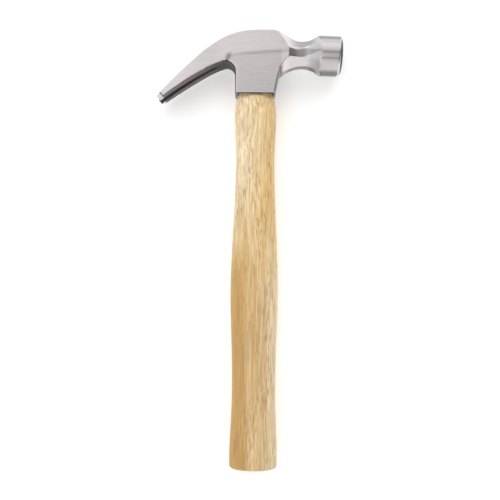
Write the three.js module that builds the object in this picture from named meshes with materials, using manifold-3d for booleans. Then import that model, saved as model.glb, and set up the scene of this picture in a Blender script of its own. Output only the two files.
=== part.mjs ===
// Claw hammer: a forged steel head wedged on an oval hardwood handle, lying on its side.
//
// Millimetres. While it is modelled, the origin is where the handle's centre line crosses the
// bottom rim of the eye: +X towards the poll, +Y along the handle towards the top of the head,
// +Z out of the cheek. At the end the whole hammer is moved so that the origin is at the bottom
// centre of its box.

import * as THREE from "three";
import { mergeVertices } from "three/addons/utils/BufferGeometryUtils.js";
import Module from "manifold-3d";

const wasm = await Module();
wasm.setup();

// ---------------------------------------------------------------- driving dimensions

const fitGap = 0.3; // between pieces that touch

// Eye: a tapered hole, wider at the top so that the wedged tenon can't pull out
const eyeHalfX = 12.6;
const eyeHalfZ = 9.0;
const eyeFlareX = 1.0; // extra at the top
const eyeFlareZ = 0.8;
const eyeCorner = 6.0;

// Walls round the eye, and the raised bar over the cheeks
const headHeight = 47.2; // bottom rim of the eye to the flat on top
const wallClaw = 2.7;
const wallPoll = 2.1;
const wallCheek = 3.5;
const barStep = 0.8; // the bar stands proud of the cheeks
const stepDrop = 16.7; // top of the head down to the step, at the centre line
const stepSlope = 0.075; // the step climbs towards the poll
const stepCorner = 3.0;
const stepOverhang = 6.2; // the step runs on past the claw side of the eye
const shoulderDepth = 31.2; // top of the head down to where the eye wall meets the neck
const shoulderFlare = 2.6; // the eye wall leans out by this much on its way there

const rimLeft = eyeHalfX + wallClaw; // centre line to the outside of the eye
const rimRight = eyeHalfX + wallPoll;
const cheekHalf = eyeHalfZ + wallCheek;
const barHalf = cheekHalf + barStep;
const shoulderX = rimRight + shoulderFlare;
const shoulderY = headHeight - shoulderDepth;
const stepLeft = -(rimLeft + stepOverhang);

// Claw
const clawReach = 58.1; // outside of the eye to the tips
const clawDrop = 48.8; // top of the head down to the tips
const tipThickness = 3.5;
const tipAngle = THREE.MathUtils.degToRad(44); // of the back near the tips
const crownStart = 3.0; // where the flat top turns down into the claw
const throatRadius = 7.4; // fillet between the claw and the eye
const throatDrop = 23.1; // top of the head down to the hollow under the claw
const backPull = 49; // lengths of the handles that bend the claw's two curves
const crownPull = 30;
const underPull = 7;
const throatPull = 8;
const clawSpread = 1.9; // the claw is wider than the bar by this much each side
const clawTipHalf = 12.0;
const clawWidest = 28.7; // outside of the eye to where the claw is widest
const slotReach = 13.3; // outside of the eye to the round end of the nail slot
const slotEndWidth = 2.6;
const slotTipWidth = 8.6;
const tipCorner = 3.4; // length of the corner cut off the outer side of each tip
const tipCornerWidth = 2.8;

const clawTip = new THREE.Vector2(-(rimLeft + clawReach), headHeight - clawDrop);
const throat = new THREE.Vector2(-(rimLeft + throatRadius), headHeight - throatDrop);
const clawWaistHalf = barHalf + clawSpread;
const clawWaistX = -(rimLeft + clawWidest);
const slotEndX = -(rimLeft + slotReach);

// Neck and poll
const pollDroop = THREE.MathUtils.degToRad(1.8); // the poll's axis dips away from the eye
const neckReach = 21.1; // outside of the eye to the thinnest place
const neckDrop = 14.8; // top of the head down to the axis there
const neckHalf = 9.8; // across the flats of the octagon
const flareTop = 18.5; // radii of the hollow grinds from the neck back to the eye
const flareSide = 24.0;
const flareBottom = 26.0;
const flareDiagonal = 22.0;
const flarePoll = 19.5; // and out to the poll
const pollRadius = 14.7;
const pollReach = 26.0; // thinnest place to where the chamfer at the face begins
const faceChamfer = 2.2;
const crownHeight = 0.9;
const faceFlat = 3.0; // radius of the flat in the middle of the crowned face

const neckX = rimRight + neckReach;
const neckY = headHeight - neckDrop;
const pollEnd = neckX + pollReach;

// Handle: half width and half thickness at stations below the rim of the eye
const handleBelow = 277.0; // rim of the eye to the butt
const shoulderDrop = 15.5; // from the rim to the full width of the shoulder
const shoulderSwell = new THREE.Vector2(2.9, 3.2); // how far the shoulder swells past the eye
const rimHalf = new THREE.Vector2(eyeHalfX - 0.1, eyeHalfZ + 0.2);
const shoulderHalf = shoulderSwell.clone().add(new THREE.Vector2(eyeHalfX, eyeHalfZ));
const stations = [
  { y: -shoulderDrop, half: shoulderHalf },
  { y: -48, half: new THREE.Vector2(14.5, 10.8) }, // waist
  { y: -handleBelow + 130, half: new THREE.Vector2(18.3, 13.2) }, // belly
  { y: -handleBelow + 68, half: new THREE.Vector2(16.3, 12.0) }, // hollow of the grip
  { y: -handleBelow + 56, half: new THREE.Vector2(16.3, 12.0) },
  { y: -handleBelow + 6, half: new THREE.Vector2(18.0, 13.6) }, // knob
];
const buttRound = 3.6; // rounding around the butt end
const ovalPower = 2.3; // 2 is an ellipse; more has flatter sides

// Wedges
const woodWedgeDepth = 30.0;
const woodWedgeTop = 4.2; // thicknesses
const woodWedgeTip = 1.6;
const steelWedgeDepth = 17.0;
const steelWedgeTop = 2.8;
const steelWedgeTip = 1.2;
const steelWedgeEdge = 3.75; // from the side of the eye to the edge of a steel wedge
const steelWedgeShare = 0.52; // place of each steel wedge from the centre line to the eye's end

const steelWedgeWidth = 2 * (eyeHalfZ - steelWedgeEdge);
const steelWedgeX = steelWedgeShare * eyeHalfX;

// ---------------------------------------------------------------- materials

const steel = () => new THREE.MeshStandardMaterial({ color: 0xc4bebe, roughness: 0.38, metalness: 1 });
const wood = () => new THREE.MeshStandardMaterial({ color: 0xd4b07c, roughness: 0.5, metalness: 0 });
const wedgeWood = () => new THREE.MeshStandardMaterial({ color: 0xb98d5a, roughness: 0.6, metalness: 0 });
const wedgeSteel = () => new THREE.MeshStandardMaterial({ color: 0x8d8a88, roughness: 0.5, metalness: 1 });

// ---------------------------------------------------------------- solids

function toSolid(geometry) {
  const bare = geometry.clone();
  bare.deleteAttribute("normal");
  bare.deleteAttribute("uv");
  const merged = mergeVertices(bare, 1e-4);
  return new wasm.Manifold(
    new wasm.Mesh({
      numProp: 3,
      vertProperties: new Float32Array(merged.attributes.position.array),
      triVerts: new Uint32Array(merged.index.array),
    }),
  );
}

function toMesh(name, solid, material) {
  const result = solid.getMesh();
  const geometry = new THREE.BufferGeometry();
  geometry.setAttribute("position", new THREE.BufferAttribute(result.vertProperties, 3));
  geometry.setIndex(new THREE.BufferAttribute(result.triVerts, 1));
  geometry.computeVertexNormals();
  const mesh = new THREE.Mesh(geometry, material);
  mesh.name = name;
  return mesh;
}

// An outline drawn in X and Y, with thickness along Z.
function plate(shape, zLow, zHigh, curveSegments = 12) {
  const geometry = new THREE.ExtrudeGeometry(shape, {
    depth: zHigh - zLow,
    bevelEnabled: false,
    curveSegments,
  });
  geometry.translate(0, 0, zLow);
  return toSolid(geometry);
}

// An outline drawn in X and Z, with thickness along Y.
function slab(shape, yLow, yHigh, curveSegments = 12) {
  const geometry = new THREE.ExtrudeGeometry(shape, {
    depth: yHigh - yLow,
    bevelEnabled: false,
    curveSegments,
  });
  geometry.rotateX(Math.PI / 2);
  geometry.translate(0, yHigh, 0);
  return toSolid(geometry);
}

// A closed skin over rings of points, each ring with the same number of points, in order.
function loft(rings) {
  const count = rings[0].length;
  const points = rings.flat();
  const first = points.length;
  points.push(middle(rings[0]), middle(rings[rings.length - 1]));
  const index = [];
  for (let r = 0; r < rings.length - 1; r += 1) {
    for (let i = 0; i < count; i += 1) {
      const a = r * count + i;
      const b = r * count + ((i + 1) % count);
      index.push(a, b, b + count, a, b + count, a + count);
    }
  }
  const last = (rings.length - 1) * count;
  for (let i = 0; i < count; i += 1) {
    const next = (i + 1) % count;
    index.push(first, next, i);
    index.push(first + 1, last + i, last + next);
  }
  const geometry = new THREE.BufferGeometry().setFromPoints(points);
  geometry.setIndex(index);
  return toSolid(geometry);
}

function middle(ring) {
  const sum = new THREE.Vector3();
  for (const point of ring) sum.add(point);
  return sum.divideScalar(ring.length);
}

// A rectangle with round corners, centred, as an outline.
function roundedOutline(halfX, halfY, corner) {
  const shape = new THREE.Shape();
  shape.moveTo(-halfX + corner, -halfY);
  shape.lineTo(halfX - corner, -halfY);
  shape.absarc(halfX - corner, -halfY + corner, corner, -Math.PI / 2, 0);
  shape.lineTo(halfX, halfY - corner);
  shape.absarc(halfX - corner, halfY - corner, corner, 0, Math.PI / 2);
  shape.lineTo(-halfX + corner, halfY);
  shape.absarc(-halfX + corner, halfY - corner, corner, Math.PI / 2, Math.PI);
  shape.lineTo(-halfX, -halfY + corner);
  shape.absarc(-halfX + corner, -halfY + corner, corner, Math.PI, Math.PI * 1.5);
  return shape;
}

// ---------------------------------------------------------------- head

const axisY = (x) => neckY - (x - neckX) * Math.tan(pollDroop);

// The side view of the eye and the claw.
function sideOutline() {
  const along = new THREE.Vector2(Math.cos(tipAngle), Math.sin(tipAngle));
  const under = new THREE.Vector2(Math.sin(tipAngle), -Math.cos(tipAngle));
  const tipBelow = clawTip.clone().addScaledVector(under, tipThickness);
  const shape = new THREE.Shape();
  shape.moveTo(rimRight, 0);
  shape.quadraticCurveTo(rimRight + 0.2, 0.5 * shoulderY, shoulderX, shoulderY);
  shape.lineTo(shoulderX, headHeight);
  shape.lineTo(crownStart, headHeight);
  shape.bezierCurveTo(
    crownStart - crownPull, headHeight,
    clawTip.x + along.x * backPull, clawTip.y + along.y * backPull,
    clawTip.x, clawTip.y,
  );
  shape.lineTo(tipBelow.x, tipBelow.y);
  shape.bezierCurveTo(
    tipBelow.x + along.x * underPull, tipBelow.y + along.y * underPull,
    throat.x - throatPull, throat.y,
    throat.x, throat.y,
  );
  shape.absarc(throat.x, throat.y - throatRadius, throatRadius, Math.PI / 2, 0, true);
  shape.lineTo(-rimLeft, 0);
  return shape;
}

// The same stretch seen from the top: a bar that widens towards the middle of the claw.
function topOutline() {
  const tipX = clawTip.x - 1;
  const shape = new THREE.Shape();
  const right = shoulderX + 1;
  shape.moveTo(right, -barHalf);
  shape.lineTo(right, barHalf);
  shape.lineTo(throat.x, barHalf);
  shape.bezierCurveTo(
    throat.x - 8, barHalf, clawWaistX + 8, clawWaistHalf, clawWaistX, clawWaistHalf,
  );
  shape.bezierCurveTo(
    clawWaistX - 10, clawWaistHalf, tipX + 10, clawTipHalf + 1, tipX, clawTipHalf,
  );
  shape.lineTo(tipX, -clawTipHalf);
  shape.bezierCurveTo(
    tipX + 10, -clawTipHalf - 1, clawWaistX - 10, -clawWaistHalf, clawWaistX, -clawWaistHalf,
  );
  shape.bezierCurveTo(
    clawWaistX + 8, -clawWaistHalf, throat.x - 8, -barHalf, throat.x, -barHalf,
  );
  shape.lineTo(right, -barHalf);
  return shape;
}

// What is ground off each cheek below the raised bar.
function cheekCut(side) {
  const stepAt = (x) => headHeight - stepDrop + stepSlope * x;
  const shape = new THREE.Shape();
  const left = stepLeft;
  shape.moveTo(left - 1.5, -1);
  shape.lineTo(left - 1.5, throat.y);
  shape.lineTo(left, stepAt(left) - stepCorner);
  shape.quadraticCurveTo(left, stepAt(left), left + stepCorner, stepAt(left + stepCorner));
  shape.lineTo(neckX, stepAt(neckX));
  shape.lineTo(neckX, -1);
  const low = side > 0 ? cheekHalf : -clawWaistHalf - 1;
  const high = side > 0 ? clawWaistHalf + 1 : -cheekHalf;
  return plate(shape, low, high);
}

// The nail slot: a V seen from the top, with a round end, cut right through the claw.
function nailSlot() {
  const shape = new THREE.Shape();
  const beyond = clawTip.x - 10;
  const reach = (beyond - slotEndX) / (clawTip.x - slotEndX);
  const halfEnd = slotEndWidth / 2;
  const halfBeyond = halfEnd + ((slotTipWidth - slotEndWidth) / 2) * reach;
  const centre = slotEndX - halfEnd;
  shape.moveTo(beyond, -halfBeyond);
  shape.lineTo(centre, -halfEnd);
  shape.absarc(centre, 0, halfEnd, -Math.PI / 2, Math.PI / 2);
  shape.lineTo(beyond, halfBeyond);
  return slab(shape, clawTip.y - 20, headHeight + 5, 6);
}

// The corner cut off the outer side of a claw's tip, square to the claw.
function tipCut(side) {
  const shape = new THREE.Shape();
  const outside = 5;
  const slope = tipCorner / tipCornerWidth;
  const inner = side * (clawTipHalf - tipCornerWidth);
  const outer = side * (clawTipHalf + outside);
  shape.moveTo(-2, outer);
  shape.lineTo(-2, inner);
  shape.lineTo(0, inner);
  shape.lineTo(slope * (tipCornerWidth + outside), outer);
  const cutter = slab(shape, -15, 15);
  const turn = THREE.MathUtils.radToDeg(tipAngle);
  return cutter.rotate([0, 0, turn]).translate([clawTip.x, clawTip.y, 0]);
}

// How far the octagon's flat lies from the poll's axis at x; each hollow is a circular arc.
function flare(x, bodyRadius) {
  const radius = x < neckX ? bodyRadius : flarePoll;
  const reach = Math.min(Math.abs(x - neckX), radius);
  return neckHalf + radius - Math.sqrt(radius * radius - reach * reach);
}

// A ring of the neck and poll: an octagon of eight flats, never outside the round of the poll.
function neckRing(x) {
  const towards = [flareTop, flareDiagonal, flareSide, flareDiagonal, flareBottom];
  const flats = [];
  for (let k = 0; k < 8; k += 1) {
    const fold = k <= 4 ? k : 8 - k;
    flats.push({ angle: (k * Math.PI) / 4, distance: flare(x, towards[fold]) });
  }
  const ring = [];
  const count = 32;
  for (let i = 0; i < count; i += 1) {
    const angle = ((i + 0.5) * 2 * Math.PI) / count;
    let reach = x > neckX ? pollRadius : 60;
    for (const flat of flats) {
      const facing = Math.cos(angle - flat.angle);
      if (facing > 0.3) reach = Math.min(reach, flat.distance / facing);
    }
    ring.push(new THREE.Vector3(x, axisY(x) + reach * Math.cos(angle), reach * Math.sin(angle)));
  }
  return ring;
}

function pollRing(x, radius) {
  const ring = [];
  const count = 32;
  const slide = Math.sin(pollDroop);
  for (let i = 0; i < count; i += 1) {
    const angle = ((i + 0.5) * 2 * Math.PI) / count;
    const up = radius * Math.cos(angle);
    ring.push(new THREE.Vector3(x + up * slide, axisY(x) + up, radius * Math.sin(angle)));
  }
  return ring;
}

// From inside the eye wall out to the thinnest part of the neck, trimmed to the cheeks.
function neckToEye() {
  const rings = [];
  const start = shoulderX - 0.8;
  const steps = 10;
  for (let i = 0; i <= steps; i += 1) {
    const x = start + ((neckX - start) * i) / steps;
    rings.push(neckRing(x));
  }
  const limit = new THREE.BoxGeometry(80, headHeight, 2 * barHalf);
  limit.translate(neckX, headHeight / 2, 0);
  const neck = loft(rings).intersect(toSolid(limit));
  return neck.subtract(cheekCut(1)).subtract(cheekCut(-1));
}

function neckToFace() {
  const rings = [];
  const meet = neckX + Math.sqrt(flarePoll ** 2 - (flarePoll - (pollRadius - neckHalf)) ** 2);
  const steps = 8;
  for (let i = 0; i <= steps; i += 1) rings.push(neckRing(neckX + ((meet - neckX) * i) / steps));
  rings.push(neckRing(meet + 1.2));
  rings.push(pollRing(pollEnd, pollRadius));
  const faceRadius = pollRadius - faceChamfer * 0.8;
  const faceX = pollEnd + faceChamfer;
  rings.push(pollRing(faceX, faceRadius));
  rings.push(pollRing(faceX + crownHeight * 0.45, faceRadius * 0.75));
  rings.push(pollRing(faceX + crownHeight * 0.85, faceRadius * 0.45));
  rings.push(pollRing(faceX + crownHeight, faceFlat));
  return loft(rings);
}

// Half sizes of the tapered eye at a height above its rim, less the clearance of what fills it.
function eyeHalf(y, clearance) {
  return {
    x: eyeHalfX + (eyeFlareX * y) / headHeight - clearance,
    z: eyeHalfZ + (eyeFlareZ * y) / headHeight - clearance,
  };
}

function eyeHole() {
  return ovalTaper(-5, headHeight + 5, (y) => eyeHalf(y, 0), eyeCorner);
}

// A rounded-rectangle prism along Y whose half sizes change along it.
function ovalTaper(yLow, yHigh, half, corner) {
  const ringAt = (y) => {
    const size = half(y);
    const outline = roundedOutline(size.x, size.z, corner).getPoints(6);
    const distinct = outline.slice(0, -1);
    return distinct.map((point) => new THREE.Vector3(point.x, y, -point.y));
  };
  return loft([ringAt(yLow), ringAt(yHigh)]);
}

function makeHead() {
  const side = plate(sideOutline(), -20, 20, 22);
  const top = slab(topOutline(), clawTip.y - 20, headHeight + 5, 10);
  let solid = side.intersect(top);
  solid = solid.subtract(cheekCut(1)).subtract(cheekCut(-1));
  solid = solid.add(neckToEye()).add(neckToFace());
  solid = solid.subtract(nailSlot());
  solid = solid.subtract(tipCut(1)).subtract(tipCut(-1));
  solid = solid.subtract(eyeHole());
  return toMesh("head", solid, steel());
}

// ---------------------------------------------------------------- handle and wedges

// Half width and half thickness of the handle below the rim of the eye.
function handleHalf(y) {
  if (y > -shoulderDrop) {
    const down = -y / shoulderDrop;
    const swell = Math.sqrt(1 - (1 - down) ** 2);
    return rimHalf.clone().lerp(stations[0].half, swell);
  }
  for (let i = 0; i < stations.length - 1; i += 1) {
    const upper = stations[i];
    const lower = stations[i + 1];
    if (y >= lower.y) {
      const t = (upper.y - y) / (upper.y - lower.y);
      return upper.half.clone().lerp(lower.half, t * t * (3 - 2 * t));
    }
  }
  return stations[stations.length - 1].half.clone();
}

function ovalRing(y, half, power) {
  const ring = [];
  const count = 32;
  for (let i = 0; i < count; i += 1) {
    const angle = (i * 2 * Math.PI) / count;
    const c = Math.cos(angle);
    const s = Math.sin(angle);
    const x = half.x * Math.sign(c) * Math.abs(c) ** (2 / power);
    const z = half.y * Math.sign(s) * Math.abs(s) ** (2 / power);
    ring.push(new THREE.Vector3(x, y, -z));
  }
  return ring;
}

function gripAndNeck() {
  const rings = [];
  const low = -handleBelow;
  const last = stations[stations.length - 1];
  const butt = (inset, y) => {
    const half = new THREE.Vector2(last.half.x - inset, last.half.y - inset);
    rings.push(ovalRing(y, half, ovalPower));
  };
  butt(buttRound * 2.2, low);
  butt(buttRound, low + buttRound * 0.35);
  butt(buttRound * 0.3, low + buttRound * 0.85);
  const start = low + buttRound * 1.7;
  const steps = 26;
  for (let i = 0; i <= steps; i += 1) {
    const y = start + ((-shoulderDrop - start) * i) / steps;
    rings.push(ovalRing(y, handleHalf(y), ovalPower));
  }
  for (const share of [0.7, 0.45, 0.25, 0.1]) {
    const y = -shoulderDrop * share;
    rings.push(ovalRing(y, handleHalf(y), ovalPower));
  }
  rings.push(ovalRing(-fitGap, rimHalf, ovalPower));
  return loft(rings);
}

function tenon() {
  const below = -1.5;
  return ovalTaper(below, headHeight - fitGap, (y) => eyeHalf(y, fitGap), eyeCorner - fitGap);
}

// A wedge pointing down the handle; thin along Z or, when across, thin along X.
function wedge(top, depth, topThickness, tipThick, width, across, grow) {
  const shape = new THREE.Shape();
  const halfTop = topThickness / 2 + grow;
  const halfTip = tipThick / 2 + grow;
  const rise = grow > 0 ? 10 : 0;
  const spread = halfTop + ((halfTop - halfTip) * rise) / depth;
  shape.moveTo(-halfTip, top - depth - grow);
  shape.lineTo(halfTip, top - depth - grow);
  shape.lineTo(spread, top + rise);
  shape.lineTo(-spread, top + rise);
  shape.lineTo(-halfTip, top - depth - grow);
  const solid = plate(shape, -width / 2 - grow, width / 2 + grow);
  return across ? solid : solid.rotate([0, 90, 0]);
}

const wedgeTopY = headHeight - fitGap; // ground level with the tenon

function woodWedge(grow) {
  const width = 2 * (eyeHalfX + eyeFlareX) + 10;
  return wedge(wedgeTopY, woodWedgeDepth, woodWedgeTop, woodWedgeTip, width, false, grow);
}

function steelWedge(side, grow) {
  const blade = wedge(
    wedgeTopY, steelWedgeDepth, steelWedgeTop, steelWedgeTip, steelWedgeWidth, true, grow,
  );
  return blade.translate([side * steelWedgeX, 0, 0]);
}

function makeHandle() {
  let solid = gripAndNeck().add(tenon());
  solid = solid.subtract(woodWedge(fitGap));
  solid = solid.subtract(steelWedge(1, fitGap)).subtract(steelWedge(-1, fitGap));
  return toMesh("handle", solid, wood());
}

function makeWoodWedge() {
  let solid = woodWedge(0).intersect(tenon());
  solid = solid.subtract(steelWedge(1, fitGap)).subtract(steelWedge(-1, fitGap));
  return toMesh("wood_wedge", solid, wedgeWood());
}

// ---------------------------------------------------------------- the whole hammer

const hammer = new THREE.Group();
const pieces = new THREE.Group();
pieces.add(makeHead());
pieces.add(makeHandle());
pieces.add(makeWoodWedge());
pieces.add(toMesh("steel_wedge_claw", steelWedge(-1, 0), wedgeSteel()));
pieces.add(toMesh("steel_wedge_poll", steelWedge(1, 0), wedgeSteel()));
hammer.add(pieces);

const box = new THREE.Box3().setFromObject(pieces, true);
const centre = box.getCenter(new THREE.Vector3());
pieces.position.set(-centre.x, -centre.y, -box.min.z);

export default hammer;
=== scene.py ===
import math

import bmesh
import bpy
from mathutils import Matrix, Vector


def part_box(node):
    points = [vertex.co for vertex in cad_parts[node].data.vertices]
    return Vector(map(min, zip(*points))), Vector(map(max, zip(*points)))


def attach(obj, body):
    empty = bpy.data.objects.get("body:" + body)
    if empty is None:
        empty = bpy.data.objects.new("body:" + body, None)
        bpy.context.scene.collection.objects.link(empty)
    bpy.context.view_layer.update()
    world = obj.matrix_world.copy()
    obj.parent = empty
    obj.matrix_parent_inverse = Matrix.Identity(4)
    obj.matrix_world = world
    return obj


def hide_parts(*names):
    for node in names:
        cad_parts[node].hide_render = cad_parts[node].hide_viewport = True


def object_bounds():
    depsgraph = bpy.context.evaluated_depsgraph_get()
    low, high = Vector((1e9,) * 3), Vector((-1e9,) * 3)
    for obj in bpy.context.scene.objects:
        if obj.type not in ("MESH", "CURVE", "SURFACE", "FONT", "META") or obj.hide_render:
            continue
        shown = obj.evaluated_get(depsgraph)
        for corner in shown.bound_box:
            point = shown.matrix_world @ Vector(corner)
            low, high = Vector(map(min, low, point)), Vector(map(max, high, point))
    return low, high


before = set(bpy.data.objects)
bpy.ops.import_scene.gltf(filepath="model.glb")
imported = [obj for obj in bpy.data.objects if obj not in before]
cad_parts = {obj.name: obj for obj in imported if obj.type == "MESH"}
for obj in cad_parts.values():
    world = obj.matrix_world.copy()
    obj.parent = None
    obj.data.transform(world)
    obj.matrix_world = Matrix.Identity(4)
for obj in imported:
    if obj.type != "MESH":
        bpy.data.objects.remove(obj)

cad_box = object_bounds()

# ---------------------------------------------------------------- where the hammer lies
#
# Sizes are in millimetres from the middle of the eye's bottom rim: X towards the poll,
# Y along the handle towards the top of the head, Z out of the upper cheek.

MM = 0.001
HEAD_HEIGHT = 47.2
HANDLE_BELOW = 277.0

head_low, head_high = (Vector(corner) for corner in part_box("head"))
handle_low, handle_high = (Vector(corner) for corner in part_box("handle"))
RIM = Vector((
    (handle_low.x + handle_high.x) / 2,
    head_high.y - HEAD_HEIGHT * MM,
    (head_low.z + head_high.z) / 2,
))

# ---------------------------------------------------------------- small shop helpers


def pick(piece):
    bpy.ops.object.select_all(action="DESELECT")
    piece.select_set(True)
    bpy.context.view_layer.objects.active = piece


def apply_place(piece):
    pick(piece)
    bpy.ops.object.transform_apply(location=True, rotation=True, scale=True)


def finish_modifier(piece, kind, **settings):
    """Adds a modifier with its settings and applies it."""
    modifier = piece.modifiers.new(kind.lower(), kind)
    for key, value in settings.items():
        setattr(modifier, key, value)
    pick(piece)
    bpy.ops.object.modifier_apply(modifier=modifier.name)


def combine(piece, tool, operation):
    finish_modifier(piece, "BOOLEAN", object=tool, operation=operation, solver="EXACT")
    bpy.data.objects.remove(tool)


def cut(piece, tool):
    combine(piece, tool, "DIFFERENCE")


def join(piece, tool):
    combine(piece, tool, "UNION")


def keep_common(piece, tool):
    combine(piece, tool, "INTERSECT")


def edit(piece):
    pick(piece)
    bpy.ops.object.mode_set(mode="EDIT")
    bpy.ops.mesh.select_all(action="DESELECT")


def done():
    bpy.ops.object.mode_set(mode="OBJECT")


def select_faces(piece, test):
    """In edit mode, selects the faces whose middle and normal pass the test."""
    bpy.ops.mesh.select_mode(type="FACE")
    cage = bmesh.from_edit_mesh(piece.data)
    for face in cage.faces:
        face.select_set(bool(test(face.calc_center_median(), face.normal)))
    bmesh.update_edit_mesh(piece.data)


def select_edges(piece, test):
    """In edit mode, selects the edges whose two ends pass the test."""
    bpy.ops.mesh.select_mode(type="EDGE")
    cage = bmesh.from_edit_mesh(piece.data)
    for edge in cage.edges:
        one, other = (vert.co for vert in edge.verts)
        edge.select_set(bool(test(one, other)))
    bmesh.update_edit_mesh(piece.data)


def knot(x, y, back=(0, 0), ahead=(0, 0)):
    """A point of an outline with its two handles; with no handles it is a sharp corner."""
    return Vector((x, y, 0)), Vector((*back, 0)), Vector((*ahead, 0))


def plate(name, knots, low, high, upright=False, steps=20):
    """A plate cut to an outline. It lies flat, or upright its outline is in X and Z."""
    bpy.ops.object.select_all(action="DESELECT")
    bpy.ops.curve.primitive_bezier_curve_add(radius=1)
    piece = bpy.context.object
    piece.name = name
    curve = piece.data
    spline = curve.splines[0]
    spline.bezier_points.add(len(knots) - len(spline.bezier_points))
    for point, (spot, back, ahead) in zip(spline.bezier_points, knots):
        point.handle_left_type = "FREE"
        point.handle_right_type = "FREE"
        point.co = spot
        point.handle_left = spot + back
        point.handle_right = spot + ahead
    spline.use_cyclic_u = True
    curve.dimensions = "2D"
    curve.fill_mode = "BOTH"
    curve.resolution_u = steps
    curve.extrude = (high - low) / 2
    bpy.ops.object.convert(target="MESH")
    middle = (low + high) / 2
    piece = bpy.context.object
    if upright:
        piece.rotation_euler.x = math.pi / 2
        piece.location.y = middle
    else:
        piece.location.z = middle
    apply_place(piece)
    edit(piece)
    bpy.ops.mesh.select_all(action="SELECT")
    bpy.ops.mesh.remove_doubles(threshold=0.0005)
    bpy.ops.mesh.dissolve_limited(angle_limit=math.radians(0.02))
    bpy.ops.mesh.normals_make_consistent(inside=False)
    done()
    return piece


QUARTER = 0.5523  # handle length that bends a curve into a quarter of a circle of radius 1


def round_corners(half_x, half_y, corner):
    """The knots of a rectangle with round corners."""
    pull = corner * QUARTER
    inner_x = half_x - corner
    inner_y = half_y - corner
    return [
        knot(-inner_x, -half_y, back=(-pull, 0)),
        knot(inner_x, -half_y, ahead=(pull, 0)),
        knot(half_x, -inner_y, back=(0, -pull)),
        knot(half_x, inner_y, ahead=(0, pull)),
        knot(inner_x, half_y, back=(pull, 0)),
        knot(-inner_x, half_y, ahead=(-pull, 0)),
        knot(-half_x, inner_y, back=(0, pull)),
        knot(-half_x, -inner_y, ahead=(0, -pull)),
    ]


def block(name, low, high):
    """A rough block between two corners, for trimming."""
    low, high = Vector(low), Vector(high)
    bpy.ops.object.select_all(action="DESELECT")
    bpy.ops.mesh.primitive_cube_add(size=1, location=(low + high) / 2)
    piece = bpy.context.object
    piece.name = name
    piece.scale = high - low
    apply_place(piece)
    return piece


def set_down(piece):
    """Takes a finished piece from the workbench, where a unit is 1 mm, to its place."""
    piece.scale = (MM, MM, MM)
    piece.location = RIM
    apply_place(piece)


# ---------------------------------------------------------------- forging the head

CHEEK_HALF = 12.5  # half thickness over the cheeks, and over the raised bar
BAR_HALF = 13.3
RIM_LEFT = 15.3  # outside of the eye wall at its bottom rim, each way from the middle
RIM_RIGHT = 14.7
RIM_LIFT = 1.2
SHOULDER = Vector((17.7, 16.0))  # where the eye wall meets the neck
TIP = Vector((-73.4, -1.6))  # end of the claw's back, and the slope of the back there
TIP_ANGLE = math.radians(44)
TIP_THICKNESS = 3.6
TIP_HALF = 12.0
THROAT = Vector((-22.7, 24.1))  # top of the hollow between the claw and the eye wall
THROAT_RADIUS = 7.4
STEP_DROP = 16.7  # from the top of the head down to the step between bar and cheek
STEP_SLOPE = 0.075
STEP_LEFT = -RIM_LEFT - 5.6
STEP_CORNER = 3.4
NECK = Vector((35.8, 31.95))  # thinnest place, on the axis of the poll
POLL_RADIUS = 14.7
POLL_END = 61.65  # where the chamfer round the striking face begins
POLL_DROOP = math.radians(1.8)
POLL_CHAMFER = 2.1
POLL_CROWN = 1.0
FACE_SLANT = math.radians(4)
BAR_END = 23.9


def step_height(x):
    return HEAD_HEIGHT - STEP_DROP + STEP_SLOPE * x


def at_side(one, other):
    """Tests for an edge that lies on one of the two flat cheeks."""
    return one.z * other.z > 0 and min(abs(one.z), abs(other.z)) > CHEEK_HALF - 0.01


def cheek_plate():
    """The eye with its flat cheeks."""
    top = HEAD_HEIGHT - 6
    piece = plate("cheeks", [
        knot(RIM_RIGHT, RIM_LIFT),
        knot(SHOULDER.x, SHOULDER.y, back=(-1.6, -6), ahead=(1.0, 3.5)),
        knot(SHOULDER.x + 1.6, top),
        knot(-RIM_LEFT, top),
        knot(-RIM_LEFT, RIM_LIFT),
    ], -CHEEK_HALF, CHEEK_HALF)
    edit(piece)
    for side, offset in ((-1, 1.7), (1, 1.5)):
        select_edges(piece, lambda a, b: (
            at_side(a, b) and min(a.x * side, b.x * side) > 14 and abs(a.y - b.y) > 0.01
        ))
        bpy.ops.mesh.bevel(offset=offset, segments=5, profile=0.5)
    done()
    return piece


def throat_web():
    """The fillet from the wall of the eye up into the hollow of the claw."""
    pull = THROAT_RADIUS * QUARTER
    low = THROAT.y - THROAT_RADIUS
    in_wall = -RIM_LEFT + 2.4
    piece = plate("throat", [
        knot(*THROAT, ahead=(pull, 0)),
        knot(-RIM_LEFT, low, back=(0, pull)),
        knot(in_wall, low - 2),
        knot(in_wall, THROAT.y + 8),
        knot(THROAT.x + 1.5, THROAT.y + 5),
        knot(THROAT.x, THROAT.y + 2),
    ], -CHEEK_HALF, CHEEK_HALF)
    edit(piece)
    select_edges(piece, lambda a, b: (
        at_side(a, b) and max(a.x, b.x) < -RIM_LEFT + 0.01
        and max(a.y, b.y) < THROAT.y + 0.01 and min(a.y, b.y) > low - 0.01
    ))
    bpy.ops.mesh.bevel(offset=1.6, segments=5, profile=0.5)
    done()
    return piece


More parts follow.
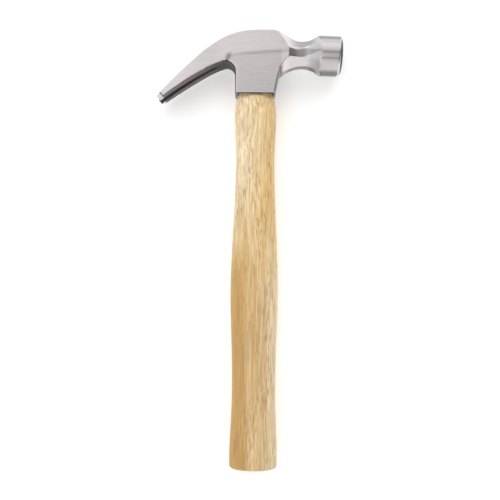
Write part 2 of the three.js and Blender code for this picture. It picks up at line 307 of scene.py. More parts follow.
def claw_plate():
    """The claw and the raised bar that runs from it over the eye, to the side outline."""
    along = Vector((math.cos(TIP_ANGLE), math.sin(TIP_ANGLE)))
    across = Vector((math.sin(TIP_ANGLE), -math.cos(TIP_ANGLE)))
    below = TIP + across * TIP_THICKNESS
    step = step_height(-RIM_LEFT)
    return plate("claw", [
        knot(BAR_END, step, ahead=(0, 2)),
        knot(BAR_END - 0.6, 37.8, back=(0.5, -1.6), ahead=(-0.9, 2.2)),
        knot(15.6, HEAD_HEIGHT, back=(3.2, -2.2)),
        knot(3.0, HEAD_HEIGHT, ahead=(-30, 0)),
        knot(*TIP, back=along * 49),
        knot(*below, ahead=along * 7),
        knot(*THROAT, back=(-8, 0)),
        knot(THROAT.x + 3, step),
    ], -20, 20, steps=28)


def claw_width():
    """The same stretch seen from the top: widest at the middle of the claw."""
    waist_x, waist, tip = -49.0, 14.0, 12.2
    end = TIP.x - 1
    right = BAR_END + 1
    return plate("claw_width", [
        knot(right, -BAR_HALF),
        knot(right, BAR_HALF),
        knot(THROAT.x, BAR_HALF, ahead=(-8, 0)),
        knot(waist_x, waist, back=(8, 0), ahead=(-10, 0)),
        knot(end, tip, back=(10, 1)),
        knot(end, -tip, ahead=(10, -1)),
        knot(waist_x, -waist, back=(-10, 0), ahead=(8, 0)),
        knot(THROAT.x, -BAR_HALF, back=(-8, 0)),
    ], -30, 60, upright=True)


def grinding_wheel(facet, apothem, thinnest, radius, keep_poll_side):
    """Half a wheel that hollows one flat of the neck, from its thinnest place outwards."""
    away = apothem + radius
    place = Vector((thinnest, NECK.y, 0))
    place += Vector((0, math.cos(facet), math.sin(facet))) * away
    bpy.ops.object.select_all(action="DESELECT")
    bpy.ops.mesh.primitive_cylinder_add(
        vertices=160, radius=radius, depth=120, location=place, rotation=(facet, 0, 0),
    )
    wheel = bpy.context.object
    apply_place(wheel)
    edit(wheel)
    bpy.ops.mesh.select_all(action="SELECT")
    side = -0.02 if keep_poll_side else 0.02
    bpy.ops.mesh.bisect(
        plane_co=(thinnest + side, 0, 0), plane_no=(1, 0, 0), use_fill=True,
        clear_inner=keep_poll_side, clear_outer=not keep_poll_side,
    )
    done()
    return wheel


def over_the_neck():
    """What is ground away above the neck, from the rounded end of the bar to the poll."""
    return plate("over_the_neck", [
        knot(15.0, HEAD_HEIGHT - 0.2, ahead=(4.6, -0.4)),
        knot(25.0, 44.9, back=(-2.6, 1.7), ahead=(3.0, -2.0)),
        knot(34.0, 41.4, back=(-3.6, 0.1), ahead=(3.4, 0)),
        knot(41.6, 42.5, back=(-2.4, -0.9), ahead=(2.2, 1.1)),
        knot(48.4, 46.5, back=(-2.2, -1.4)),
        knot(48.4, 80),
        knot(10.0, 80),
        knot(10.0, HEAD_HEIGHT - 0.2),
    ], -40, 40)


def poll_blank():
    """The turned poll: a round bar with a chamfer and a crowned striking face."""
    start = NECK.x + 5.5
    bpy.ops.object.select_all(action="DESELECT")
    bpy.ops.mesh.primitive_cylinder_add(
        vertices=128, radius=POLL_RADIUS, depth=POLL_END - start,
        location=((start + POLL_END) / 2, NECK.y, 0), rotation=(0, math.pi / 2, 0),
    )
    poll = bpy.context.object
    poll.name = "poll"
    apply_place(poll)
    edit(poll)
    select_faces(poll, lambda middle, normal: normal.x > 0.9)
    bpy.ops.transform.rotate(
        value=FACE_SLANT, orient_axis="Z", center_override=(POLL_END, NECK.y, 0),
    )
    radius, chamfer = POLL_RADIUS, POLL_CHAMFER
    rings = [(chamfer, chamfer)]
    for share in (0.25, 0.5, 0.75, 0.92):
        rise = POLL_CROWN * share * (2 - share)
        rings.append((chamfer + (radius - chamfer) * share, chamfer + rise))
    reached_in, reached_out = 0.0, 0.0
    for inward, outward in rings:
        bpy.ops.mesh.extrude_region_move(
            TRANSFORM_OT_translate={"value": (outward - reached_out, 0, 0)}
        )
        shrink = (radius - inward) / (radius - reached_in)
        bpy.ops.transform.resize(
            value=(1, shrink, shrink), center_override=(0, NECK.y, 0),
        )
        if reached_in == 0.0:
            bpy.ops.transform.rotate(
                value=-FACE_SLANT, orient_axis="Z",
                center_override=(POLL_END + chamfer, NECK.y, 0),
            )
        reached_in, reached_out = inward, outward
    done()
    return poll


NECK_FLATS = {  # turned from the top: half thickness, thinnest place, two wheel radii
    45: (8.9, 33.0, 18.0, 19.5),
    90: (9.7, 37.2, 25.0, 13.7),
    135: (9.7, 35.0, 23.0, 18.9),
    180: (9.7, 35.8, 26.0, 19.5),
}


def hollow_flats(neck, poll_side):
    """Grinds the hollow of every flat, on the eye's side of the neck or on the poll's."""
    for turn, (apothem, thinnest, eye_wheel, poll_wheel) in NECK_FLATS.items():
        radius = poll_wheel if poll_side else eye_wheel
        for angle in {turn, 360 - turn}:
            cut(neck, grinding_wheel(math.radians(angle), apothem, thinnest, radius, poll_side))


def neck_and_poll():
    """The neck is eight hollow-ground flats between the eye and the round poll."""
    neck = block("neck", (SHOULDER.x - 2.5, 4, -22), (42, 62, 22))
    hollow_flats(neck, False)
    join(neck, poll_blank())
    hollow_flats(neck, True)
    droop = Matrix.Rotation(-POLL_DROOP, 4, "Z")
    pivot = Matrix.Translation((NECK.x, NECK.y, 0))
    neck.data.transform(pivot @ droop @ pivot.inverted())
    cut(neck, over_the_neck())
    for side in (1, -1):
        for half, reach, top in ((CHEEK_HALF, 23.4, 31.5), (BAR_HALF, NECK.x - 4, 90)):
            low, high = sorted((side * half, side * 60))
            cut(neck, block("beside", (0, -10, low), (reach, top, high)))
    return neck


def nail_slot():
    """The V between the two prongs, with a round end."""
    end_x, end_half, tip_half = -29.9, 1.3, 4.3
    beyond = TIP.x - 10
    spread = end_half + (tip_half - end_half) * (beyond - end_x) / (TIP.x - end_x)
    pull = end_half * QUARTER
    return plate("nail_slot", [
        knot(beyond, -spread),
        knot(end_x, -end_half, ahead=(pull, 0)),
        knot(end_x + end_half, 0, back=(0, -pull), ahead=(0, pull)),
        knot(end_x, end_half, back=(pull, 0)),
        knot(beyond, spread),
    ], -30, 70, upright=True)


def tip_corner(side):
    """What is ground off the outer corner of a prong's tip."""
    length, width, outside = 3.4, 2.8, 5.0
    slope = length / width
    inner = side * (TIP_HALF - width)
    outer = side * (TIP_HALF + outside)
    piece = plate("tip_corner", [
        knot(-2, outer),
        knot(-2, inner),
        knot(0, inner),
        knot(slope * (width + outside), outer),
    ], -15, 15, upright=True)
    piece.rotation_euler.z = TIP_ANGLE
    piece.location = (TIP.x, TIP.y, 0)
    apply_place(piece)
    return piece


EYE_HALF = Vector((12.6, 9.0))
EYE_FLARE = Vector((1.0, 0.8))
EYE_CORNER = 6.0


def eye_taper(name, low, high, clearance):
    """The tapered round-cornered shape of the eye, less a clearance: the hole or the tenon."""
    def half(y):
        return EYE_HALF + EYE_FLARE * (y / HEAD_HEIGHT) - Vector((clearance, clearance))
    start, end = half(low), half(high)
    corners = round_corners(start.x, start.y, EYE_CORNER - clearance)
    piece = plate(name, corners, low, high, upright=True, steps=10)
    edit(piece)
    select_faces(piece, lambda middle, normal: normal.y > 0.9)
    bpy.ops.transform.resize(
        value=(end.x / start.x, 1, end.y / start.y), center_override=(0, high, 0),
    )
    done()
    return piece


def weld(*pieces):
    """Lays overlapping closed pieces together as one object, to be remeshed into one skin."""
    bpy.ops.object.select_all(action="DESELECT")
    for piece in pieces:
        piece.select_set(True)
    bpy.context.view_layer.objects.active = pieces[0]
    bpy.ops.object.join()
    return pieces[0]


def dress_step(head):
    """Works the two side faces level: a raised bar, a soft step, and the cheek below it."""
    cage = bmesh.new()
    cage.from_mesh(head.data)
    for vert in cage.verts:
        x, y, z = vert.co
        below = step_height(x) - y
        inside = x - STEP_LEFT
        by_neck = x > 13
        if abs(z) < CHEEK_HALF - 0.3 or (by_neck and abs(vert.normal.z) < 0.6):
            continue
        if x > BAR_END + 0.1 or y > HEAD_HEIGHT - 3 or below > (15 if by_neck else 6):
            continue
        if min(below, inside) < -2.6:
            continue
        if below < STEP_CORNER and inside < STEP_CORNER:
            inward = STEP_CORNER - math.hypot(STEP_CORNER - below, STEP_CORNER - inside)
        else:
            inward = min(below, inside)
        width = 2.8 + max(0.0, -12 - x) * 0.2
        share = max(0.0, min(1.0, (inward + width * 0.5) / width))
        share *= share * (3 - 2 * share)
        share *= max(0.0, min(1.0, (BAR_END - x) / 5))
        vert.co.z = math.copysign(BAR_HALF + (CHEEK_HALF - BAR_HALF) * share, z)
    cage.to_mesh(head.data)
    cage.free()


def ease_shoulder(head):
    """Blends the bar's rounded end into the neck, and the wall of the eye into the claw."""
    group = head.vertex_groups.new(name="blend")

    def within(value, low, high, fade):
        return max(0.0, min(1.0, (value - low) / fade, (high - value) / fade))

    for vert in head.data.vertices:
        x, y, z = vert.co
        shoulder = within(x, 13, 31, 3) * within(y, 36, 60, 2.5)
        throat = within(x, -25, -12.5, 2) * within(y, 8, 27.5, 2) * within(abs(z), 9, 20, 1)
        neck = within(x, 27, 50, 3) * 0.3
        weight = max(shoulder * 0.85, throat * 0.7, neck)
        if weight:
            group.add([vert.index], weight, "REPLACE")
    finish_modifier(head, "SMOOTH", factor=0.5, iterations=110, vertex_group="blend")
    head.vertex_groups.clear()


def forge_head():
    claw, cheeks, throat, neck = claw_plate(), cheek_plate(), throat_web(), neck_and_poll()
    keep_common(claw, claw_width())
    cut(claw, nail_slot())
    for side in (1, -1):
        cut(claw, tip_corner(side))
    for part in (claw, cheeks):
        cut(part, eye_taper("eye", -6, HEAD_HEIGHT + 6, 0))
    head = weld(claw, cheeks, throat, neck)
    head.name = "hammer_head"
    voxel = 0.38
    finish_modifier(head, "REMESH", mode="VOXEL", voxel_size=voxel)
    finish_modifier(head, "SMOOTH", factor=0.5, iterations=4)
    ease_shoulder(head)
    dress_step(head)
    finish_modifier(head, "SMOOTH", factor=0.5, iterations=2)
    finish_modifier(head, "DECIMATE", ratio=0.6)
    pick(head)
    bpy.ops.object.shade_smooth()
    set_down(head)
    return head


# ---------------------------------------------------------------- shaping the handle

RIM_HALF = Vector((12.5, 9.2))
STATIONS = [  # height, half width, half thickness
    (-15.5, 15.5, 12.2),  # shoulder
    (-48.0, 14.5, 10.8),  # waist
    (-147.0, 17.8, 13.2),  # belly
    (-209.0, 16.3, 12.0),  # hollow of the grip
    (-221.0, 16.3, 12.0),
    (-271.0, 18.0, 13.6),  # knob
]
BUTT_EDGE = ((1.1, 0.4), (0.4, 0.8), (0.1, 1.4), (0.0, 2.4))  # inset and rise, from the end
TENON_CLEARANCE = 0.3


def handle_half(y):
    """Half width and half thickness of the handle at a height below the rim."""
    top = STATIONS[0]
    if y > top[0]:
        swell = math.sqrt(1 - ((y - top[0]) / (RIM_LIFT - top[0])) ** 2)
        return RIM_HALF.lerp(Vector(top[1:]), swell)
    for upper, lower in zip(STATIONS, STATIONS[1:]):
        if y >= lower[0]:
            share = (upper[0] - y) / (upper[0] - lower[0])
            return Vector(upper[1:]).lerp(Vector(lower[1:]), share * share * (3 - 2 * share))
    return Vector(STATIONS[-1][1:])


def wedge_slot(name, half_thick_top, half_thick_tip, half_width, depth, x, across, grow=0.0):
    """A wedge pointing down the handle; across, its thin way is X."""
    top = HEAD_HEIGHT - 0.3
    reach = 8 if grow else 0
    widen = (half_thick_top - half_thick_tip) * reach / depth
    low = Vector((half_width + grow, half_thick_tip + grow))
    high = Vector((half_width + grow, half_thick_top + grow + widen))
    if across:
        low, high = low.yx, high.yx
    piece = block(name, (x - low.x, top - depth - grow, -low.y), (x + low.x, top + reach, low.y))
    edit(piece)
    select_faces(piece, lambda middle, normal: normal.y > 0.9)
    bpy.ops.transform.resize(
        value=(high.x / low.x, 1, high.y / low.y), center_override=(x, 0, 0),
    )
    done()
    return piece


WEDGES = {  # half thickness at the top and tip, half width, depth, place, across
    "wedge_of_wood": (2.1, 0.8, 18.0, 30.0, 0.0, False),
    "wedge_of_steel_claw": (1.4, 0.6, 5.25, 17.0, -6.55, True),
    "wedge_of_steel_poll": (1.4, 0.6, 5.25, 17.0, 6.55, True),
}
TIGHT = 0.08  # clearance between a wedge and its slot


def handle_rings():
    """Heights and half sizes of the rings that the stick is drawn through, from the butt."""
    low, butt = -HANDLE_BELOW, Vector(STATIONS[-1][1:])
    rings = [(low + rise, butt - Vector((inset, inset))) for inset, rise in BUTT_EDGE]
    heights = []
    y = low + 7.0
    while y < STATIONS[0][0] - 2:
        heights.append(y)
        y += 4.0
    heights += [-15.5, -12.0, -9.0, -6.5, -4.0, -2.2, -0.8, 0.2, 0.9]
    return rings + [(y, handle_half(y)) for y in heights]


def shape_handle():
    low, start = -HANDLE_BELOW, 0.4
    share = 1 - 7.5 / STATIONS[-1][1]  # the flat of the butt, of the whole stick
    size = Vector(STATIONS[-1][1:]) * share
    side, flat = 8.4 * share, 11.2 * share
    oval = [
        knot(size.x, 0, back=(0, -side), ahead=(0, side)),
        knot(0, size.y, back=(flat, 0), ahead=(-flat, 0)),
        knot(-size.x, 0, back=(0, side), ahead=(0, -side)),
        knot(0, -size.y, back=(-flat, 0), ahead=(flat, 0)),
    ]
    handle = plate("hammer_handle", oval, low, low + start, upright=True, steps=14)
    edit(handle)
    select_faces(handle, lambda middle, normal: normal.y > 0.9)
    here = low + start
    for y, half in handle_rings():
        bpy.ops.mesh.extrude_region_move(
            TRANSFORM_OT_translate={"value": (0, y - here, 0)}
        )
        bpy.ops.transform.resize(
            value=(half.x / size.x, 1, half.y / size.y), center_override=(0, 0, 0),
        )
        here, size = y, half
    done()
    finish_modifier(handle, "SUBSURF", levels=1, render_levels=1)
    join(handle, eye_taper("tenon", -1.5, HEAD_HEIGHT - 0.3, TENON_CLEARANCE))
    for name, sizes in WEDGES.items():
        cut(handle, wedge_slot(name + "_slot", *sizes, grow=TIGHT))
    pick(handle)
    bpy.ops.object.shade_smooth_by_angle(angle=math.radians(32))
    set_down(handle)
    return handle


def make_wedge(name):
    wedge = wedge_slot(name, *WEDGES[name])
    if name == "wedge_of_wood":
        keep_common(wedge, eye_taper("tenon", -1.5, HEAD_HEIGHT + 2, TENON_CLEARANCE))
        for other in WEDGES:
            if other != name:
                cut(wedge, wedge_slot(other + "_slot", *WEDGES[other], grow=TIGHT))
    finish_modifier(
        wedge, "BEVEL", width=0.15, segments=2, limit_method="ANGLE",
        angle_limit=math.radians(40),
    )
    pick(wedge)
    bpy.ops.object.shade_smooth_by_angle(angle=math.radians(40))
    set_down(wedge)
    return wedge


# ---------------------------------------------------------------- node groups


class Bench:
    """Adds nodes to a tree and links them, one call for each node."""

    def __init__(self, tree):
        self.tree = tree

    def fill(self, sockets, values):
        """Links or sets each of the sockets that the values name."""
        for key, value in values.items():
            if isinstance(value, bpy.types.NodeSocket):
                self.tree.links.new(value, sockets[key])
            else:
                sockets[key].default_value = value

    def add(self, kind, inputs=None, **settings):
        node = self.tree.nodes.new(kind)
        for key, value in settings.items():
            setattr(node, key, value)
        self.fill(node.inputs, inputs or {})
        return node

    def math(self, operation, a, b=0.0, c=0.0, clamp=False):
        node = self.add("ShaderNodeMath", {0: a, 1: b, 2: c}, operation=operation, use_clamp=clamp)
        return node.outputs[0]

    def times(self, product, *others):
        for other in others:
            product = self.math("MULTIPLY", product, other)
        return product

    def plus(self, total, *others):
        for other in others:
            total = self.math("ADD", total, other)
        return total

    def less(self, a, b):
        return self.math("SUBTRACT", a, b)

    def unsigned(self, value):
        return self.math("ABSOLUTE", value)

    def most(self, a, b):
        return self.math("MAXIMUM", a, b)

    def ramp(self, value, low, high, to_low=0.0, to_high=1.0):
        """Smoothly from to_low, where the value is at low, to to_high."""
        node = self.add(
            "ShaderNodeMapRange",
            {"Value": value, "From Min": low, "From Max": high, "To Min": to_low, "To Max": to_high},
            interpolation_type="SMOOTHSTEP",
        )
        return node.outputs["Result"]

    def band(self, value, rises, full, falls, gone):
        """A soft band of the value: up from rises to full, down again from falls to gone."""
        return self.times(self.ramp(value, rises, full), self.ramp(value, gone, falls))

    def mix(self, share, a, b, blend="MIX"):
        node = self.add("ShaderNodeMix", {0: share, 6: a, 7: b}, data_type="RGBA", blend_type=blend)
        return node.outputs[2]

    def tint(self, colour, other):
        return self.mix(1.0, colour, other, blend="MULTIPLY")

    def tone(self, colour, value):
        """The colour made darker or lighter by a value."""
        return self.tint(colour, self.vector(value, value, value))

    def noise(self, vector, scale, detail=2.0, rough=0.5):
        node = self.add(
            "ShaderNodeTexNoise",
            {"Vector": vector, "Scale": scale, "Detail": detail, "Roughness": rough},
        )
        return node.outputs["Fac"]

    def stretch(self, vector, scale, turn=(0, 0, 0)):
        node = self.add("ShaderNodeMapping", {"Vector": vector, "Scale": scale, "Rotation": turn})
        return node.outputs["Vector"]

    def vector(self, x=0.0, y=0.0, z=0.0):
        return self.add("ShaderNodeCombineXYZ", {"X": x, "Y": y, "Z": z}).outputs[0]

    def shift(self, vector, by, operation="ADD"):
        return self.add("ShaderNodeVectorMath", {0: vector, 1: by}, operation=operation).outputs[0]

    def split(self, vector):
        return self.add("ShaderNodeSeparateXYZ", {"Vector": vector}).outputs


def new_group(name, inputs, outputs):
    tree = bpy.data.node_groups.new(name, "ShaderNodeTree")
    for socket, kind, value in inputs:
        made = tree.interface.new_socket(socket, in_out="INPUT", socket_type=kind)
        if value is not None:
            made.default_value = value
    for socket in outputs:
        tree.interface.new_socket(socket, in_out="OUTPUT", socket_type=FLOAT)
    bench = Bench(tree)
    return bench, bench.add("NodeGroupInput").outputs, bench.add("NodeGroupOutput").inputs


VECTOR, FLOAT = "NodeSocketVector", "NodeSocketFloat"


def grind_marks_group():
    """Fine scratches from the belt, all running one way, and a slow cloudiness."""
    bench, given, results = new_group(
        "grind_marks",
        [("Vector", VECTOR, None), ("Run", VECTOR, None), ("Depth", FLOAT, 0.5)],
        ["Scratch", "Cloud", "Height"],
    )
    drawn_out = bench.shift(given["Vector"], given["Run"], "MULTIPLY")
    fine = bench.noise(drawn_out, 1.0, detail=3.0, rough=0.7)
    coarse = bench.noise(drawn_out, 0.35, detail=2.0)
    scratch = bench.plus(bench.times(fine, 0.6), bench.times(coarse, 0.4))
    bench.fill(results, {
        "Scratch": scratch,
        "Cloud": bench.noise(given["Vector"], 90.0, detail=3.0),
        "Height": bench.times(scratch, given["Depth"]),
    })
    return bench.tree


def stick_grain_group():
    """Growth rings, fibres, dark pore dashes and slow tones of a stick grown along Y."""
    bench, given, results = new_group(
        "stick_grain",
        [("Vector", VECTOR, None), ("Ring Width", FLOAT, 0.0017), ("Waver", FLOAT, 0.004),
         ("Pith X", FLOAT, 0.03), ("Pith Z", FLOAT, -0.05), ("Seed", FLOAT, 0.0)],
        ["Ring", "Fibre", "Pore", "Tone"],
    )
    moved = bench.shift(given["Vector"], bench.vector(given["Seed"], given["Seed"]))
    slow = bench.noise(bench.stretch(moved, (22, 9, 22)), 1.0, detail=1.0)
    wander = bench.times(bench.less(slow, 0.5), given["Waver"])
    bent = bench.shift(moved, bench.vector(wander, 0.0, wander))
    place = bench.split(bent)
    from_x = bench.less(place["X"], given["Pith X"])
    from_z = bench.less(place["Z"], given["Pith Z"])
    squares = bench.plus(bench.times(from_x, from_x), bench.times(from_z, from_z))
    ripple = bench.noise(bench.stretch(moved, (300, 22, 300)), 1.0, detail=3.0)
    tremble = bench.times(bench.less(ripple, 0.5), 0.0022)
    radius = bench.plus(bench.math("SQRT", squares), tremble)
    year = bench.math("FRACT", bench.math("DIVIDE", radius, given["Ring Width"]))
    slanted = bench.stretch(bent, (1600, 125, 1600), turn=(0, 0, 0.05))
    dash = bench.noise(slanted, 1.0, detail=2.0, rough=0.45)
    patch = bench.noise(bench.stretch(moved, (160, 26, 160)), 1.0, detail=2.0)
    bench.fill(results, {
        "Ring": bench.band(year, 0.0, 0.6, 0.7, 1.0),
        "Fibre": bench.noise(bench.stretch(bent, (1150, 28, 1150)), 1.0, detail=4.0, rough=0.7),
        "Pore": bench.times(bench.ramp(dash, 0.52, 0.61), bench.ramp(patch, 0.38, 0.58, 0.3, 1.0)),
        "Tone": bench.noise(bench.stretch(bent, (150, 5, 150)), 1.0, detail=3.0, rough=0.6),
    })
    return bench.tree


GRIND_MARKS = grind_marks_group()
STICK_GRAIN = stick_grain_group()

# ---------------------------------------------------------------- materials
#
# Places in the materials are in metres from the middle of the eye's bottom rim.


def new_material(name):
    material = bpy.data.materials.new(name)
    material.use_nodes = True
    bench = Bench(material.node_tree)
    shader = material.node_tree.nodes["Principled BSDF"]
    coords = bench.add("ShaderNodeTexCoord").outputs
    local = bench.shift(coords["Object"], RIM, "SUBTRACT")
    return material, bench, shader.inputs, coords, local


def grind_marks(bench, local, run):
    return bench.add(
        "ShaderNodeGroup", {"Vector": local, "Run": run, "Depth": 1.0}, node_tree=GRIND_MARKS,
    ).outputs


def bump(bench, height, distance, strength):
    node = bench.add("ShaderNodeBump", {"Height": height, "Distance": distance, "Strength": strength})
    return node.outputs["Normal"]


def distance_from_tip(bench, place):
    """How far up the back of the claw from the ends of the prongs."""
    along = bench.times(bench.less(place["X"], TIP.x * MM), math.cos(TIP_ANGLE))
    rise = bench.times(bench.less(place["Y"], TIP.y * MM), math.sin(TIP_ANGLE))
    return bench.plus(along, rise)


def scale_and_slot_shade_mask(bench, place, facing, from_tip):
    """Where the black scale is left: under the claw, round the throat and in the nail slot, whose
    walls are also painted dark as shade.
    """
    aside, side_on = bench.unsigned(place["Z"]), bench.unsigned(facing["Z"])
    # Down and back towards the handle is the way the hollow of the claw faces.
    turned = bench.less(bench.times(facing["X"], 0.45), bench.times(facing["Y"], 0.89))
    throat = bench.times(
        bench.ramp(facing["X"], -0.35, -0.6),
        bench.ramp(place["X"], -0.030, -0.024), bench.ramp(place["Y"], 0.027, 0.024),
    )
    under = bench.times(bench.most(bench.ramp(turned, 0.12, 0.35), throat),
                        bench.ramp(side_on, 0.85, 0.6))
    off_tip = bench.most(bench.ramp(from_tip, 0.0030, 0.0038), bench.ramp(aside, 0.0058, 0.0050))
    # The walls of the slot are painted black for the scale and as painted shade inside the slot.
    slot = bench.times(bench.ramp(aside, 0.0052, 0.0046), bench.ramp(side_on, 0.5, 0.8))
    on_claw = bench.ramp(place["X"], -0.0142, -0.0150)
    return bench.times(bench.most(bench.times(under, off_tip), slot), on_claw)


def cheek_tone_and_step_shade(bench, place, facing):
    """The cheeks are darker than the bar, more so towards the rim, and the foot of the step gets
    painted shade.
    """
    step = bench.plus(step_height(0) * MM, bench.times(place["X"], STEP_SLOPE))
    below, inside = bench.less(step, place["Y"]), bench.less(place["X"], STEP_LEFT * MM)
    inward = bench.math("SMOOTH_MIN", below, inside, 0.003)
    on_eye = bench.times(bench.ramp(bench.unsigned(facing["Z"]), 0.8, 0.95),
                         bench.ramp(place["X"], 0.0250, 0.0235))
    cheek = bench.times(bench.ramp(inward, -0.001, 0.001), on_eye)
    greyer = bench.ramp(place["Y"], 0.028, 0.0, -0.14, -0.20)
    # Painted shade along the foot of the step, which faces away from the light.
    painted_step_shade = bench.times(bench.band(inward, -0.0018, -0.0002, 0.0004, 0.0022), on_eye,
                       bench.ramp(place["X"], -0.018, -0.004))
    return bench.times(bench.plus(1.0, bench.times(cheek, greyer)),
                       bench.less(1.0, bench.times(painted_step_shade, 0.16)))


def painted_flats_reflection(bench, place, facing):
    """Painted reflection: the steep flats are painted greyer, the underside darker and the striking
    face nearly black.
    """
    steep = bench.ramp(facing["Y"], 0.56, 0.74, 0.0, bench.ramp(place["X"], 0.022, 0.036, 0.42, 0.54))
    bottom = bench.ramp(facing["Y"], -0.76, -0.95, 1.12, 0.38)
    face = bench.times(
        bench.ramp(facing["X"], 0.28, 0.6), bench.ramp(place["X"], 0.0615, 0.0622),
        bench.ramp(facing["Y"], 0.52, 0.34),
    )
    return bench.times(bench.less(1.0, steep), bench.less(1.0, bench.times(face, 0.86)), bottom)


def painted_shade_marks(bench, place, facing, from_tip):
    """Painted shade and reflection: a dark wedge on the neck, the rims of the tips and the eye, and
    darker bands on the poll.
    """
    aside, side_on = bench.unsigned(place["Z"]), bench.unsigned(facing["Z"])
    # The wedge of painted dark reflection runs along the side flat of the neck and dies out at the
    # poll.
    half = bench.ramp(place["X"], 0.030, 0.049, 0.0037, 0.0007)
    axis = bench.ramp(place["X"], 0.030, 0.049, 0.0316, 0.0325)
    off_axis = bench.less(bench.unsigned(bench.less(place["Y"], axis)), half)
    wedge = bench.times(
        bench.ramp(off_axis, 0.0005, -0.0005), bench.ramp(side_on, 0.6, 0.8),
        bench.band(place["X"], 0.029, 0.035, 0.0470, 0.0490),
    )
    # Painted shade lines where the ground corners of the tips meet the sides.
    tip_line = bench.times(bench.band(from_tip, 0.0031, 0.0035, 0.0040, 0.0045),
                           bench.ramp(aside, 0.0090, 0.0100))
    # Painted shade on the steep walls of the eye and under its bottom rim.
    rim = bench.times(
        bench.ramp(place["Y"], 0.0270, 0.0240), bench.ramp(side_on, 0.7, 0.4),
        bench.band(place["X"], -0.030, -0.020, 0.019, 0.021),
    )
    # The poll is painted darker, with painted reflection bands at two facing angles.
    poll_reflection_bands = bench.most(bench.band(facing["Y"], -0.15, -0.07, -0.02, 0.06),
                         bench.band(facing["Y"], -0.42, -0.36, -0.32, -0.26))
    on_poll = bench.times(bench.ramp(place["X"], 0.0470, 0.0485), bench.ramp(facing["X"], 0.3, 0.15))
    poll = bench.times(bench.plus(0.15, bench.times(poll_reflection_bands, 0.24)), on_poll)
    dark = bench.plus(bench.times(wedge, 0.34), bench.times(bench.most(tip_line, rim), 0.72), poll)
    return bench.math("SUBTRACT", 1.0, dark, clamp=True)


def head_steel():
    """Steel ground to a satin, black from the forge under the claw."""
    material, bench, sockets, coords, local = new_material("head_steel")
    place, facing = bench.split(local), bench.split(coords["Normal"])
    marks = grind_marks(bench, local, (260.0, 2600.0, 2600.0))
    from_tip = distance_from_tip(bench, place)
    scale_and_slot_shade = scale_and_slot_shade_mask(bench, place, facing, from_tip)
    ground = bench.mix(marks["Cloud"], (0.58, 0.55, 0.555, 1), (0.62, 0.59, 0.595, 1))
    ground = bench.mix(bench.ramp(marks["Scratch"], 0.35, 0.65), ground, (0.65, 0.615, 0.62, 1))
    ground = bench.tone(ground, bench.times(
        painted_flats_reflection(bench, place, facing), cheek_tone_and_step_shade(bench, place, facing),
        painted_shade_marks(bench, place, facing, from_tip),
    ))
    # The scale is lighter along the middle of each prong and darker by the slot and the outer edges;
    # painted shade makes it darkest round the throat.
    cloud = bench.noise(local, 420.0, detail=4.0, rough=0.6)
    aside = bench.unsigned(place["Z"])
    scale = bench.mix(cloud, (0.050, 0.038, 0.037, 1), (0.13, 0.106, 0.104, 1))
    scale = bench.tone(scale, bench.times(
        bench.ramp(aside, 0.0055, 0.0075, 0.5, 1.75), bench.ramp(aside, 0.0105, 0.0120, 1.0, 0.55),
        bench.ramp(place["X"], -0.045, -0.024, 1.0, 0.36),
    ))
    # The grinding wheel leaves a coarser finish on the flare behind the poll, and a painted cool tint
    # there takes out the handle's warm reflection.
    flare = bench.times(bench.ramp(place["X"], 0.036, 0.042), bench.ramp(facing["X"], -0.05, -0.3))
    colour = bench.mix(scale_and_slot_shade, ground, scale)
    colour = bench.mix(flare, colour, bench.tint(colour, (0.86, 0.89, 0.91, 1)))
    rough = bench.plus(0.22, bench.times(marks["Cloud"], 0.08), bench.times(scale_and_slot_shade, 0.2),
                       bench.times(flare, 0.24))
    height = bench.plus(bench.times(marks["Height"], 0.12), bench.times(scale_and_slot_shade, cloud))
    bench.fill(sockets, {
        "Base Color": colour, "Roughness": rough,
        "Metallic": bench.less(1.0, bench.times(scale_and_slot_shade, 0.35)),
        "Normal": bump(bench, height, 0.05 * MM, 0.5),
    })
    return material


def handle_wood(name, cream, golden, warm, dark, seed, pith):
    """Varnished pale hardwood, creamy on one edge and golden on the other."""
    material, bench, sockets, _, local = new_material(name)
    grain = bench.add(
        "ShaderNodeGroup",
        {"Vector": local, "Seed": seed, "Pith X": pith[0], "Pith Z": pith[1]},
        node_tree=STICK_GRAIN,
    ).outputs
    place = bench.split(local)
    edge = bench.math("DIVIDE", place["X"], 0.018)
    # The creamy edge changes sides part of the way down the stick.
    swap = bench.ramp(place["Y"], -0.055, -0.150, -1.0, 1.0)
    creamy = bench.plus(bench.ramp(place["Y"], -0.02, -0.13, 0.78, 0.34),
                        bench.times(edge, swap, 0.6))
    drift = bench.times(bench.less(grain["Tone"], 0.5), 1.3)
    creamy = bench.math("ADD", creamy, drift, clamp=True)
    warmed = bench.mix(bench.ramp(place["Y"], -0.07, -0.17), golden, warm)
    base = bench.mix(creamy, warmed, cream)
    base = bench.mix(bench.times(grain["Ring"], 0.22), base, dark)
    # Painted shade darkens the claw's side of the stick.
    painted_side_shade = bench.times(bench.ramp(edge, 0.1, -0.8, 0.0, 0.17), bench.ramp(place["Y"], -0.02, -0.08))
    streak = bench.ramp(grain["Fibre"], 0.32, 0.68, 0.77, 1.15)
    base = bench.tone(base, bench.times(streak, bench.less(1.0, painted_side_shade)))
    base = bench.mix(bench.times(grain["Pore"], 0.64), base, dark)
    # The rounded edge of the butt is paler.
    base = bench.mix(bench.ramp(place["Y"], -0.2752, -0.2764, 0.0, 0.6), base, cream)
    relief = bench.less(bench.times(grain["Fibre"], 0.3), grain["Pore"])
    bench.fill(sockets, {
        "Base Color": base,
        "Roughness": bench.ramp(grain["Fibre"], 0.2, 0.8, 0.46, 0.58),
        "Normal": bump(bench, relief, 0.04 * MM, 0.6),
        "Coat Weight": 0.1, "Coat Roughness": 0.35,
    })
    return material


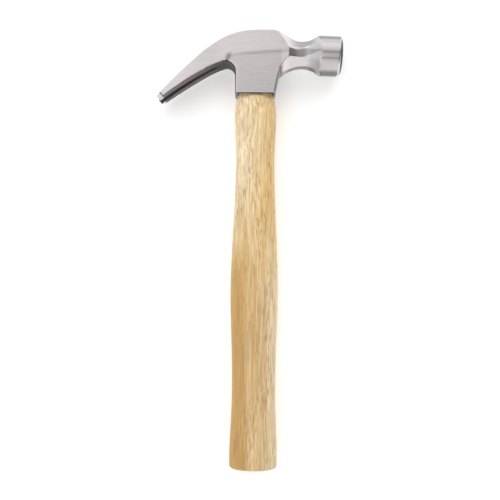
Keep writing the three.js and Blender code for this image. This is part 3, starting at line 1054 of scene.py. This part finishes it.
def wedge_steel():
    """Dull cold-rolled steel, filed level with the top of the head."""
    material, bench, sockets, _, local = new_material("wedge_steel")
    marks = grind_marks(bench, local, (3000.0, 3000.0, 400.0))
    bench.fill(sockets, {
        "Base Color": bench.mix(marks["Cloud"], (0.36, 0.35, 0.34, 1), (0.52, 0.51, 0.5, 1)),
        "Metallic": 1.0,
        "Roughness": bench.ramp(marks["Scratch"], 0.3, 0.7, 0.38, 0.55),
        "Normal": bump(bench, marks["Height"], 0.05 * MM, 0.5),
    })
    return material


def dress(piece, material, slot, *nodes):
    piece.data.materials.clear()
    piece.data.materials.append(material)
    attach(piece, "root")
    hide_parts(*nodes)


# ---------------------------------------------------------------- the hammer

dress(forge_head(), head_steel(), "head_steel", "head")
ash = handle_wood(
    "handle_ash", (0.97, 0.81, 0.525, 1), (0.90, 0.61, 0.23, 1), (0.66, 0.395, 0.118, 1),
    (0.46, 0.245, 0.08, 1), 0.0, (0.035, -0.06),
)
beech = handle_wood(
    "wedge_beech", (0.62, 0.42, 0.24, 1), (0.5, 0.31, 0.16, 1), (0.48, 0.29, 0.15, 1),
    (0.3, 0.17, 0.08, 1), 0.4, (0.01, -0.03),
)
dress(shape_handle(), ash, "handle_wood", "handle")
dress(make_wedge("wedge_of_wood"), beech, "wedge_wood", "wood_wedge")
filed = wedge_steel()
for end in ("claw", "poll"):
    dress(make_wedge("wedge_of_steel_" + end), filed, "wedge_steel", "steel_wedge_" + end)

# ---------------------------------------------------------------- the studio


def lay_floor():
    bpy.ops.object.select_all(action="DESELECT")
    bpy.ops.mesh.primitive_plane_add(size=6, location=(0, 0, cad_box[0][2] - 0.0004))
    floor = bpy.context.object
    floor.name = "studio_floor"
    material = bpy.data.materials.new("studio_floor")
    material.use_nodes = True
    Bench(material.node_tree).fill(material.node_tree.nodes["Principled BSDF"].inputs, {
        "Base Color": (0.92, 0.92, 0.925, 1), "Roughness": 0.9, "Specular IOR Level": 0.1,
        "Emission Color": (1.0, 1.0, 1.0, 1), "Emission Strength": 0.31,
    })
    floor.data.materials.append(material)


def window_light():
    """One large soft light beyond the head, so shadows fall towards the butt."""
    data = bpy.data.lights.new("window", "AREA")
    data.shape = "SQUARE"
    data.size = 1.4
    data.energy = 6.7
    light = bpy.data.objects.new("window", data)
    bpy.context.collection.objects.link(light)
    light.location = Vector((0.12, 0.78, 0.62)) * 1.6
    light.rotation_euler = (-light.location).to_track_quat("-Z", "Y").to_euler()
    light.visible_glossy = False


def light_tent():
    """A pale tent, greyer on the poll's side and brighter in a band beyond the head."""
    world = bpy.data.worlds.new("light_tent")
    bpy.context.scene.world = world
    world.use_nodes = True
    bench = Bench(world.node_tree)
    way = bench.split(bench.add("ShaderNodeTexCoord").outputs["Generated"])
    grey = bench.plus(bench.ramp(way["X"], 0.05, 0.11, 0.0, 0.48),
                      bench.ramp(way["X"], 0.3, 0.75, 0.0, 0.44))
    grey = bench.times(grey, bench.ramp(way["Z"], 0.08, 0.28),
                       bench.band(way["Y"], -0.75, -0.55, 0.34, 0.48))
    lamp = bench.times(bench.band(way["Y"], 0.52, 0.68, 0.88, 0.97), 0.22)
    bench.fill(world.node_tree.nodes["Background"].inputs, {
        "Color": (1.0, 0.985, 0.985, 1),
        "Strength": bench.less(bench.plus(1.02, lamp), grey),
    })


def set_camera():
    """Straight above the middle of the hammer, turned so that the handle leans a little."""
    data = bpy.data.cameras.new("camera")
    data.lens = 50.4
    data.sensor_width = 36
    data.clip_end = 20
    camera = bpy.data.objects.new("camera", data)
    bpy.context.collection.objects.link(camera)
    camera.location = RIM + Vector((-3.4, -114.3, 525)) * MM
    camera.rotation_euler = (0, 0, math.radians(0.42))
    bpy.context.scene.camera = camera


lay_floor()
light_tent()
window_light()
set_camera()
bpy.context.scene.view_settings.view_transform = "Standard"
